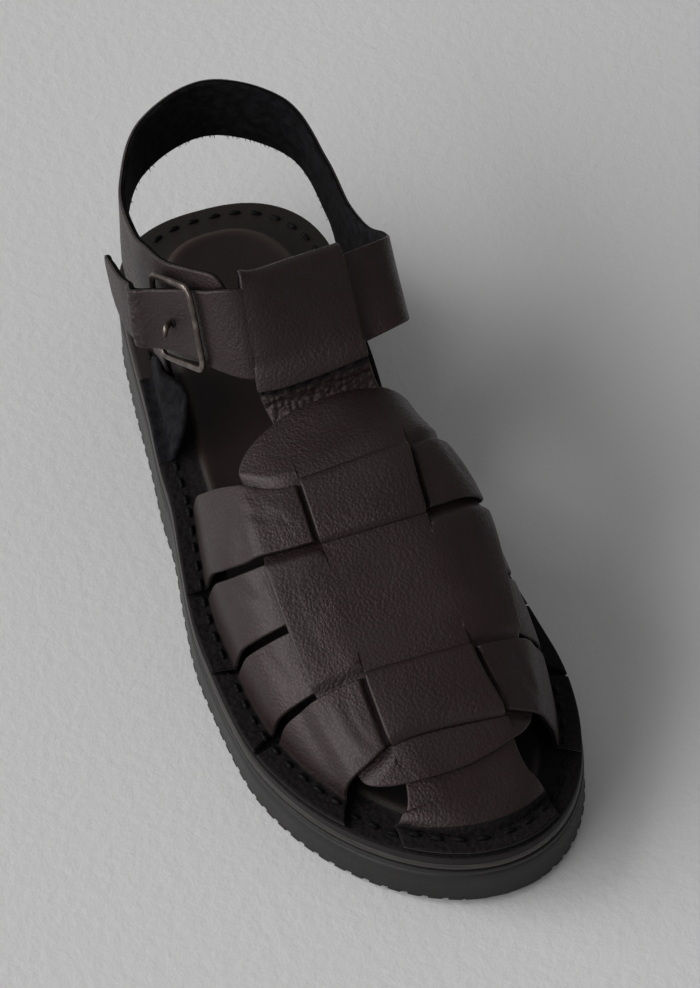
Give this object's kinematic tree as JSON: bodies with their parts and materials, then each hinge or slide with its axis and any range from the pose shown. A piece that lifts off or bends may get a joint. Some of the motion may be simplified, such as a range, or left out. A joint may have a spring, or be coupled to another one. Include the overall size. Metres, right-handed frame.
{
  "type": "woven leather sandal",
  "caption": "Flat woven fisherman sandal with a T-bar, a wrapped ankle strap, a side buckle and a thick rubber sole.",
  "frame": {"origin": "on the floor under the middle of the sole", "axes": "toe points to -Y, heel to +Y, outer side of the right foot to -X, up +Z"},
  "size_m": [0.0999, 0.274, 0.1079],
  "materials": {
    "rubber": "matt black wedge rubber with fine cross lugs",
    "midsole": "matt dark grey layer between the rubber and the insole",
    "insole_leather": "satin dark brown leather with a stitched margin",
    "strap_leather": "pebbled espresso brown leather with a soft gloss",
    "suede": "rough flesh side, near black",
    "dark_metal": "dark bronzed wire"
  },
  "bodies": {
    "root": {"outsole": "rubber", "midsole": "midsole", "insole": "insole_leather", "upper": "strap_leather", "ankle_strap": "strap_leather", "side_tab_lateral": "suede", "side_tab_medial": "suede", "buckle_frame": "dark_metal", "buckle_prong": "dark_metal"}
  },
  "joints": []
}
